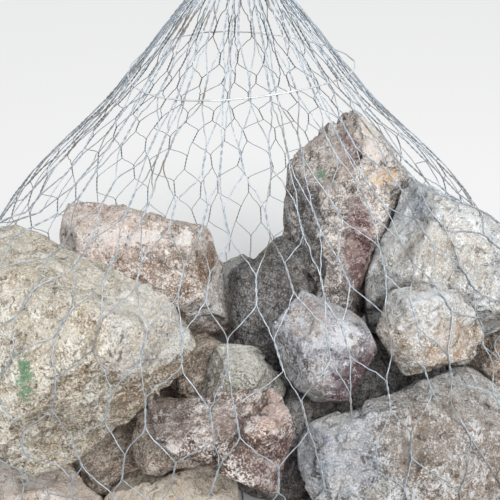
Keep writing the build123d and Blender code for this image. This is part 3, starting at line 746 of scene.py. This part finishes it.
def sack_line():
    """The mesh's own line from the neck to the closing ring: a smooth spline, then flat ground."""
    points = np.array(PROFILE)
    gaps = np.linalg.norm(np.diff(points, axis=0), axis=1)
    count = len(points)
    matrix = np.zeros((count, count))
    wanted = np.zeros((count, 2))
    matrix[0, 0] = matrix[-1, -1] = 1
    wanted[0] = np.array([0.05, -1]) / math.hypot(0.05, 1)
    wanted[-1] = (-1, 0)
    for k in range(1, count - 1):
        before, after = gaps[k - 1], gaps[k]
        matrix[k, k - 1 : k + 2] = (after, 2 * (before + after), before)
        slope_before = (points[k] - points[k - 1]) / before
        slope_after = (points[k + 1] - points[k]) / after
        wanted[k] = 3 * (after * slope_before + before * slope_after)
    slopes = np.linalg.solve(matrix, wanted)
    line = []
    for k in range(count - 1):
        for t in np.linspace(0, 1, SPAN_STEPS, endpoint=k == count - 2):
            line.append(
                (2 * t**3 - 3 * t**2 + 1) * points[k]
                + (t**3 - 2 * t**2 + t) * gaps[k] * slopes[k]
                + (3 * t**2 - 2 * t**3) * points[k + 1]
                + (t**3 - t**2) * gaps[k] * slopes[k + 1]
            )
    line.append((CLOSING_RADIUS, PROFILE[-1][1]))
    line = np.array(line)
    along = np.concatenate([[0], np.cumsum(np.linalg.norm(np.diff(line, axis=0), axis=1))])
    return line, along


line, along = sack_line()
flat_starts = along[-2]
steps = np.gradient(line, along, axis=0)
line_normals = np.column_stack([-steps[:, 1], steps[:, 0]])
line_normals /= np.linalg.norm(line_normals, axis=1)[:, None]


def on_line(values, s):
    """Values along the line, such as its radius, at the distances s from the neck."""
    return np.interp(s, along, values)


def column_angle(s, column):
    """Where a column stands round the sack. Near the neck the columns draw into bunches."""
    even = math.tau * np.asarray(column) / COLUMNS
    radius = on_line(line[:, 0], s)
    room = 1 - BUNCH_GAP / (math.tau * radius / COLUMNS)
    fade = np.clip((BUNCHED_WITHIN - radius) / (BUNCHED_WITHIN - PROFILE[2][0]), 0, 1)
    pull = np.minimum(BUNCH_PULL, np.maximum(0, room)) * fade
    return even - pull / BUNCHES * np.sin(BUNCHES * even)


def twist_rows():
    """Top and bottom of each row of twists. The more the columns spread, the shorter the cells."""
    rows, top = [], FIRST_OPEN_ROW
    while top + TWIST_LENGTH < flat_starts:
        bottom = top + TWIST_LENGTH
        rows.append((top, bottom))
        half_pitch = math.pi * on_line(line[:, 0], bottom) / COLUMNS
        drop = max(DIAGONAL_LENGTH**2 - half_pitch**2, (DIAGONAL_LENGTH / 3) ** 2)
        top = bottom + math.sqrt(drop)
    return rows


rows = twist_rows()

GRID_STEP = 0.006
GRID_COLUMNS = 540
DRAPE_SLOPE = 0.7
DRAPE_ROUNDS = 50
FARTHEST_STONE = 0.3
HIGHEST_STONE = 0.85
LOWEST_RAY = 0.008
OVER_STONE = 0.0012


def stones_as_one():
    """All the boulders as one tree that rays can be sent at."""
    corners, faces, count = [], [], 0
    for piece in boulders.values():
        mesh = piece.data
        corners.append(places_of(mesh))
        squares = np.zeros(len(mesh.loops), dtype=np.int64)
        mesh.loops.foreach_get("vertex_index", squares)
        faces.append(squares.reshape(-1, 4) + count)
        count += len(mesh.vertices)
    return BVHTree.FromPolygons(np.concatenate(corners).tolist(), np.concatenate(faces).tolist())


stones = stones_as_one()
grid_s = np.append(np.arange(0, flat_starts, GRID_STEP), flat_starts)


def lift_over_stones():
    """How far the boulders push the mesh out of its own line, all over it. Beside a boulder the
    stiff mesh comes back to its line at no more than the drape slope."""
    lift = np.zeros((len(grid_s), GRID_COLUMNS))
    for row, s in enumerate(grid_s):
        radius, height = on_line(line[:, 0], s), max(on_line(line[:, 1], s), LOWEST_RAY)
        out, rise = on_line(line_normals[:, 0], s), on_line(line_normals[:, 1], s)
        if rise <= 0:
            out, rise = 1.0, 0.0
        if height > HIGHEST_STONE:
            continue
        for column in range(GRID_COLUMNS):
            angle = math.tau * column / GRID_COLUMNS
            way = Vector((out * math.cos(angle), out * math.sin(angle), rise))
            start = Vector((radius * math.cos(angle), radius * math.sin(angle), height))
            hit = stones.ray_cast(start + way * FARTHEST_STONE, -way, FARTHEST_STONE)
            if hit[0] is not None:
                lift[row, column] = FARTHEST_STONE - hit[3] + OVER_STONE
    down = DRAPE_SLOPE * GRID_STEP
    round_it = DRAPE_SLOPE * on_line(line[:, 0], grid_s)[:, None] * math.tau / GRID_COLUMNS
    for _ in range(DRAPE_ROUNDS):
        lift[1:] = np.maximum(lift[1:], lift[:-1] - down)
        lift[:-1] = np.maximum(lift[:-1], lift[1:] - down)
        for way in (-1, 1):
            lift = np.maximum(lift, np.roll(lift, way, axis=1) - round_it)
    return lift


lift_grid = lift_over_stones()


def lift_at(s, angle):
    """The lift at places on the mesh, between the grid's own."""
    row = np.interp(s, grid_s, np.arange(len(grid_s)))
    column = (angle / math.tau * GRID_COLUMNS) % GRID_COLUMNS
    low_row, low_column = np.floor(row).astype(int), np.floor(column).astype(int) % GRID_COLUMNS
    high_row = np.minimum(low_row + 1, len(grid_s) - 1)
    high_column = (low_column + 1) % GRID_COLUMNS
    down, across = row - low_row, column - np.floor(column)

    def along_row(at):
        return lift_grid[at, low_column] * (1 - across) + lift_grid[at, high_column] * across

    upper, lower = along_row(low_row), along_row(high_row)
    return np.where(s > flat_starts, 0, upper * (1 - down) + lower * down)


def lay_wire(s, angle, across, outwards):
    """Places of a wire at s down the mesh and angle round it, shifted by across and outwards. At
    the back it stays within the part's own box."""
    s, angle = np.asarray(s), np.asarray(angle)
    out, rise = on_line(line_normals[:, 0], s), on_line(line_normals[:, 1], s)
    push_out = np.where(rise > 0, out, 1.0)
    push_up = np.where(rise > 0, rise, 0.0)
    lift = lift_at(s, angle)
    radius = on_line(line[:, 0], s) + out * outwards + push_out * lift
    height = on_line(line[:, 1], s) + rise * outwards + push_up * lift
    cosine, sine = np.cos(angle), np.sin(angle)
    radius = np.minimum(radius, (cad_box[1][1] - MESH_WIRE / 2) / np.maximum(sine, 0.01))
    return np.column_stack(
        [radius * cosine - across * sine, radius * sine + across * cosine, height]
    )


# The wires of the mesh. Each of the ninety galvanised wires runs in a zigzag from the neck to the
# base, twisted two turns with its left neighbour in one row and with its right one in the next. The
# mesh was pulled uneven by hand, so its twists are shifted and lean.

TURNS = 2
TWIST_STEPS = 15
DIAGONAL_STEPS = 5
PAIR_RADIUS = MESH_WIRE / 2 * 1.04
PAIR_LIFT = 1.6
SHIFT_ACROSS = 0.13
SHIFT_DOWN = 0.005
LEAN = 0.05
BEND = 0.0011
kinks = np.random.default_rng(27)
twist_shift_across, twist_shift_down, twist_lean = (
    kinks.normal(0, spread, (len(rows), COLUMNS)) for spread in (SHIFT_ACROSS, SHIFT_DOWN, LEAN)
)


def twist_ends(row, column, side):
    """A row's twist that a wire goes through: its distances down the mesh and its columns."""
    whole = column if row % 2 == 0 else column + (-1 if side == "left" else 0)
    at = whole % COLUMNS
    calm = min(1.0, (row + 0.5) / 3)
    across = whole + 0.5 * (row % 2) + calm * twist_shift_across[row, at]
    down = calm * twist_shift_down[row, at] if 0 < row < len(rows) - 1 else 0
    lean = calm * twist_lean[row, at]
    return rows[row][0] + down, rows[row][1] + down, across - lean, across + lean


def wire_through(column, side, first_row, last_row):
    """One wire from half way down the first row's twist to half way down the last row's."""
    s, columns, turn, bends = [], [], [], []
    bent = np.random.default_rng(2 * column + (side == "left") + 1000 * first_row)
    for row in range(first_row, last_row + 1):
        top, bottom, top_column, bottom_column = twist_ends(row, column, side)
        left_here = (side == "left") == (row % 2 == 0)
        from_share = 0.5 if row == first_row and row > 0 else 0.0
        to_share = 0.5 if row == last_row and row < len(rows) - 1 else 1.0
        count = max(2, round(TWIST_STEPS * (to_share - from_share)))
        shares = np.linspace(from_share, to_share, count)
        s.append(top + (bottom - top) * shares)
        columns.append(top_column + (bottom_column - top_column) * shares)
        turn.append((math.pi if left_here else 0) + math.tau * TURNS * shares)
        bends.append(np.zeros(count))
        if row < last_row:
            next_top, _, next_column, _ = twist_ends(row + 1, column, side)
            ways = np.linspace(0, 1, DIAGONAL_STEPS + 2)[1:-1]
            eased = ways * 0.7 + (3 * ways**2 - 2 * ways**3) * 0.3
            s.append(bottom + (next_top - bottom) * ways)
            columns.append(bottom_column + (next_column - bottom_column) * eased)
            now, then = (math.pi, 0) if left_here else (0, math.pi)
            turn.append(now + (then - now) * ways)
            bends.append(bent.normal(0, BEND, DIAGONAL_STEPS))
    s, columns, turn, bends = (np.concatenate(part) for part in (s, columns, turn, bends))
    reach = PAIR_RADIUS * np.cos(turn) + bends
    height = MESH_WIRE / 2 + PAIR_RADIUS * (1 + np.sin(turn))
    return lay_wire(s, column_angle(s, columns), reach, height)


def drawn_wire_tree():
    """Geometry nodes that draw a round wire along every run of edges."""
    inputs = (
        ("Runs", "Geometry"),
        ("Thickness", "Float", MESH_WIRE),
        ("Sides", "Int", 6),
        ("Finish", "Material"),
    )
    tree, given = new_tree("drawn_wire", "GeometryNodeTree", inputs, (("Wire", "Geometry"),))
    add = partial(add_node, tree)
    run = add("GeometryNodeMeshToCurve", {"Mesh": given["Runs"]})
    outline = {"Resolution": given["Sides"], "Radius": given["Thickness"] * 0.5}
    circle = add("GeometryNodeCurvePrimitiveCircle", outline)
    feeds = {"Curve": run, "Profile Curve": circle, "Fill Caps": True}
    close_shape(tree, add("GeometryNodeCurveToMesh", feeds), given["Finish"])
    return tree


def galvanised_finish(name, zinc, dull, grime):
    """Zinc-coated wire, gone dull in the open, with soil rubbed into it in places."""
    tree, add, where = new_finish(name)

    def patches(scale, low, high):
        noise = add("ShaderNodeTexNoise", {"Vector": where, "Scale": scale, "Detail": 5.0})
        return add("ShaderNodeMapRange", {"Value": noise, "From Min": low, "From Max": high})

    def mixed(share, under, colour):
        feeds = {"Factor": share, "A": under, "B": colour}
        return add("ShaderNodeMix", feeds, "Result", data_type="RGBA")

    spangle = mixed(patches(120.0, 0.35, 0.65), tone(*zinc), tone(*dull))
    dirt = patches(14.0, 0.52, 0.7)
    roughness = {"Value": dirt, "To Min": 0.38, "To Max": 0.7}
    bumps = {"Distance": 0.0002, "Height": patches(900.0, 0.3, 0.7)}
    surface = {
        "Base Color": mixed(dirt, spangle, tone(*grime)),
        "Roughness": add("ShaderNodeMapRange", roughness),
        "Metallic": 0.5,
        "Normal": add("ShaderNodeBump", bumps),
    }
    feed(tree, tree.nodes["Principled BSDF"], surface)


drawn_wire = drawn_wire_tree()
ZINC = {"mesh_wire": "dull_zinc", "lacing_wire": "bright_zinc"}
galvanised_finish("dull_zinc", (174, 181, 188), (132, 141, 149), (116, 109, 100))
galvanised_finish("bright_zinc", (214, 218, 222), (186, 192, 198), (150, 143, 134))


def wire_piece(name, runs, node, slot, thickness, closed=False, sides=6):
    """Round wires along runs of places, standing for a node of the part."""
    corners, edges = [], []
    for run in runs:
        first = len(corners)
        corners.extend(map(tuple, run))
        edges.extend((k, k + 1) for k in range(first, len(corners) - 1))
        if closed:
            edges.append((len(corners) - 1, first))
    mesh = bpy.data.meshes.new(name + "_runs")
    mesh.from_pydata(corners, edges, [])
    piece = shaped(name, mesh, drawn_wire, ZINC[slot], thickness=thickness, sides=sides)
    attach(piece, "root")
    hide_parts(node)


SECTORS = 5
SIDES = ("left", "right")
last_row = len(rows) - 1
shoulder_row = len(rows) // 2
for sector in range(SECTORS):
    first = sector * COLUMNS // SECTORS
    for kind, from_row, to_row in (("cone", 0, shoulder_row), ("belly", shoulder_row, last_row)):
        runs = [
            wire_through(column, side, from_row, to_row)
            for column in range(first, first + COLUMNS // SECTORS)
            for side in SIDES
        ]
        node = f"{kind}_net_{sector + 1}"
        wire_piece(node + "_wires", runs, node, "mesh_wire", MESH_WIRE)

# The gathered neck. The mesh's uncut end: all its pairs of galvanised wires, drawn together through
# the tie. Above it they spread in a short, uneven tuft.

NECK_RADIUS, NECK_HEIGHT = PROFILE[0]
NECK_STEPS = 26
NECK_TURNS = 3
TIE_TURNS = 5
TIE_RISE = 0.0035
TUFT_RADIUS = 0.062
TUFT_HEIGHT = 0.072
TUFT_STEPS = 9
TUFT_MARGIN = 0.002
PAIR_APART = 0.0022
SUNK = 0.0035
tie_top = NECK_HEIGHT + (TIE_TURNS + 1) * TIE_RISE


def neck_wire(column, side):
    """One wire of a pair from its cut end in the tuft down to the first open row. Every second pair
    lies a little further in."""
    shares = np.linspace(0, 1, NECK_STEPS)
    turn = (math.pi if side == "left" else 0) + math.tau * NECK_TURNS * (shares - 1)
    s = FIRST_OPEN_ROW * shares
    sunk = SUNK * (column % 2) * (1 - shares) ** 2
    outwards = PAIR_RADIUS * (PAIR_LIFT + np.sin(turn)) - sunk
    lower = lay_wire(s, column_angle(s, column), PAIR_RADIUS * np.cos(turn), outwards)
    angle = float(column_angle(0.0, column))
    flat = np.array([math.cos(angle), math.sin(angle), 0])
    along_ring = np.array([-math.sin(angle), math.cos(angle), 0])
    start = lower[0] + np.array([0, 0, tie_top - NECK_HEIGHT])
    reach = TUFT_HEIGHT * (0.92 + 0.25 * math.sin(column * 2.4)) * (1 if side == "left" else 0.93)
    spread = TUFT_RADIUS - NECK_RADIUS - TUFT_MARGIN - SUNK * (column % 2)
    apart = PAIR_APART if side == "right" else -PAIR_APART
    tuft = [
        start
        + flat * spread * up**1.6
        + np.array([0, 0, reach * up])
        + along_ring * apart * up
        for up in np.linspace(1, 0, TUFT_STEPS)[:-1]
    ]
    return np.vstack([tuft, [start], lower])


neck_runs = [neck_wire(column, side) for column in range(COLUMNS) for side in SIDES]
wire_piece("neck_strands", neck_runs, "gathered_neck", "mesh_wire", MESH_WIRE)

# The drawn-in base. The other end of the same mesh, its pairs of wires drawn together flat on the
# ground under the stones.

SLOPE_STEPS = 7
FLAT_STEPS = 18
BASE_TURNS = 5


def base_wire(column, side):
    """One wire of a pair from the last open row in to the closing ring."""
    start = rows[last_row][1]
    sloping = np.linspace(start, flat_starts, SLOPE_STEPS)[:-1]
    s = np.concatenate([sloping, np.linspace(flat_starts, along[-1], FLAT_STEPS)])
    place = column + 0.5 * (last_row % 2)
    shares = (s - start) / (along[-1] - start)
    turn = (math.pi if side == "left" else 0) + math.tau * BASE_TURNS * shares
    on_slope = PAIR_RADIUS * (PAIR_LIFT + np.sin(turn))
    on_ground = PAIR_RADIUS * (1.3 + 0.9 * np.sin(turn))
    height = np.where(s < flat_starts, on_slope, on_ground)
    return lay_wire(s, column_angle(s, place), PAIR_RADIUS * np.cos(turn), height)


base_runs = [base_wire(column, side) for column in range(COLUMNS) for side in SIDES]
wire_piece("base_strands", base_runs, "drawn_in_base", "mesh_wire", MESH_WIRE, sides=5)

# The neck tie. Softer 3 mm lacing wire, wound five times round the neck by hand, with its two ends
# bent away.

LACING_WIRE = 0.003
STRAND = 0.0036
CLEARANCE = 0.0003
TIE_STEPS = 36
TAIL_LENGTH = 0.047
TAIL_RISE = 0.018
TAIL_CURL = 0.006
tie_radius = NECK_RADIUS + STRAND + LACING_WIRE / 2 + CLEARANCE
turns = np.linspace(0, math.tau * TIE_TURNS, TIE_TURNS * TIE_STEPS + 1)
tie_height = NECK_HEIGHT + TIE_RISE * (turns / math.tau + 0.5)
tie_run = np.column_stack([tie_radius * np.cos(turns), tie_radius * np.sin(turns), tie_height])


def tail(end, rise):
    """A cut end that leaves the winding and curls a little."""
    shares = np.linspace(0.12, 1, 9)[:, None]
    out = np.array([end[0], end[1], 0]) / math.hypot(end[0], end[1])
    beside = np.array([-out[1], out[0], 0])
    return (
        end
        + out * TAIL_LENGTH * shares
        + np.array([0, 0, rise]) * shares**2
        + beside * TAIL_CURL * np.sin(shares * 5)
    )


tie_run = np.vstack([tail(tie_run[0], -TAIL_RISE)[::-1], tie_run, tail(tie_run[-1], TAIL_RISE)])
wire_piece("tie_winding", [tie_run], "neck_tie", "lacing_wire", LACING_WIRE, sides=10)

# The closing ring. Two lacing wires twisted together, drawn round inside the ends of the base's
# strands, which they hold shut.

RING_STEPS = 144
RING_TURNS = 24
RING_WIRE = 0.0029
RING_INSIDE = 0.0033
ring_radius = CLOSING_RADIUS - RING_INSIDE
ring_angle = np.linspace(0, math.tau, RING_STEPS, endpoint=False)
ring_runs = []
for phase in (0, math.pi):
    turn = phase + ring_angle * RING_TURNS
    radius = ring_radius + LACING_WIRE / 2 * np.cos(turn)
    height = LACING_WIRE + LACING_WIRE / 2 * np.sin(turn)
    ring_runs.append(
        np.column_stack([radius * np.cos(ring_angle), radius * np.sin(ring_angle), height])
    )
wire_piece("base_ring", ring_runs, "closing_ring", "lacing_wire", RING_WIRE, closed=True)

# The lacing hoop. A thin galvanised wire laced once round the cone, slack at the right, where it
# stands off the mesh.

HOOP_STEPS = 180
HOOP_DOWN = 0.295
HOOP_SWAY = 0.012
HOOP_SLACK = 0.011
HOOP_RIPPLE = 0.0006
HOOP_CLEARANCE = 0.0006
HOOP_WIRE = 0.0028
MESH_THICKNESS = 0.0044
hoop_angle = np.linspace(0, math.tau, HOOP_STEPS, endpoint=False)
hoop_s = HOOP_DOWN + HOOP_SWAY * np.sin(2 * hoop_angle + 0.7)
hoop_off = HOOP_SLACK * np.maximum(0, np.cos(hoop_angle)) ** 2
hoop_off = hoop_off + HOOP_RIPPLE * np.sin(23 * hoop_angle)
hoop_over = MESH_THICKNESS + LACING_WIRE / 2 + HOOP_CLEARANCE + hoop_off
hoop_run = lay_wire(hoop_s, hoop_angle, 0, hoop_over)
wire_piece("hoop_lacing", [hoop_run], "lacing_hoop", "lacing_wire", HOOP_WIRE, closed=True)

# The floor, the light and the camera. A plain pale floor, a soft sky and one broad lamp from the
# front right. The camera looks down at the sack from 1.3 m above the floor.

FLOOR_HALF = 30
GLOW_FROM, GLOW_FULL, GLOW_MOST = 0.5, 1.6, 0.65
CAMERA_DOWN = 33


def seen_plainly(tree):
    """1 where the camera sees a surface, also by way of metal or glass, 0 where it only lights."""
    seen = add_node(tree, "ShaderNodeLightPath", output="Is Camera Ray")
    return seen.most(seen.beside("Is Glossy Ray")).most(seen.beside("Is Transmission Ray"))


corners = ((-1, -1), (1, -1), (1, 1), (-1, 1))
floor_corners = [(x * FLOOR_HALF, y * FLOOR_HALF, 0) for x, y in corners]
floor_mesh = bpy.data.meshes.new("floor")
floor_mesh.from_pydata(floor_corners, [], [(0, 1, 2, 3)])
floor = placed("floor", floor_mesh)
tree, add, where = new_finish("pale_floor")
paint = tree.nodes["Principled BSDF"]
feed(tree, paint, {"Base Color": (0.68, 0.67, 0.65, 1), "Roughness": 0.9})
glow = add("ShaderNodeEmission", {"Color": (0.95, 0.95, 0.94, 1)})
from_sack = add("ShaderNodeVectorMath", (where,), "Value", operation="LENGTH")
reach = {"Value": from_sack, "From Min": GLOW_FROM, "From Max": GLOW_FULL, "To Max": GLOW_MOST}
away = add("ShaderNodeMapRange", reach, interpolation_type="SMOOTHSTEP")
feeds = (seen_plainly(tree) * away, Signal(tree, paint.outputs[0]), glow)
feed(tree, tree.nodes["Material Output"], (add("ShaderNodeMixShader", feeds),))
floor_mesh.materials.append(bpy.data.materials["pale_floor"])

world = bpy.data.worlds.new("overcast")
bpy.context.scene.world = world
world.use_nodes = True
tree = world.node_tree
sky = tree.nodes["Background"]
feed(tree, sky, {"Color": (0.89, 0.94, 1.0, 1), "Strength": 0.82})
backdrop = add_node(tree, "ShaderNodeBackground", {"Color": (0.86, 0.86, 0.85, 1)})
feeds = (seen_plainly(tree), Signal(tree, sky.outputs[0]), backdrop)
feed(tree, tree.nodes["World Output"], (add_node(tree, "ShaderNodeMixShader", feeds),))

lamp_data = bpy.data.lights.new("softbox", "AREA")
lamp_data.shape = "DISK"
lamp_data.size = 3.0
lamp_data.energy = 195
lamp = placed("softbox", lamp_data)
lamp.location = (1.0, -2.5, 3.4)
lamp.rotation_euler = (Vector((0, 0, 0.4)) - lamp.location).to_track_quat("-Z", "Y").to_euler()

camera_data = bpy.data.cameras.new("camera")
camera_data.lens = 49.46
camera_data.sensor_width = 36
camera = placed("camera", camera_data)
camera.location = (0.019, -1.308, 1.2787)
camera.rotation_euler = (math.radians(90 - CAMERA_DOWN), 0, 0)
bpy.context.scene.camera = camera
bpy.context.scene.view_settings.view_transform = "Standard"
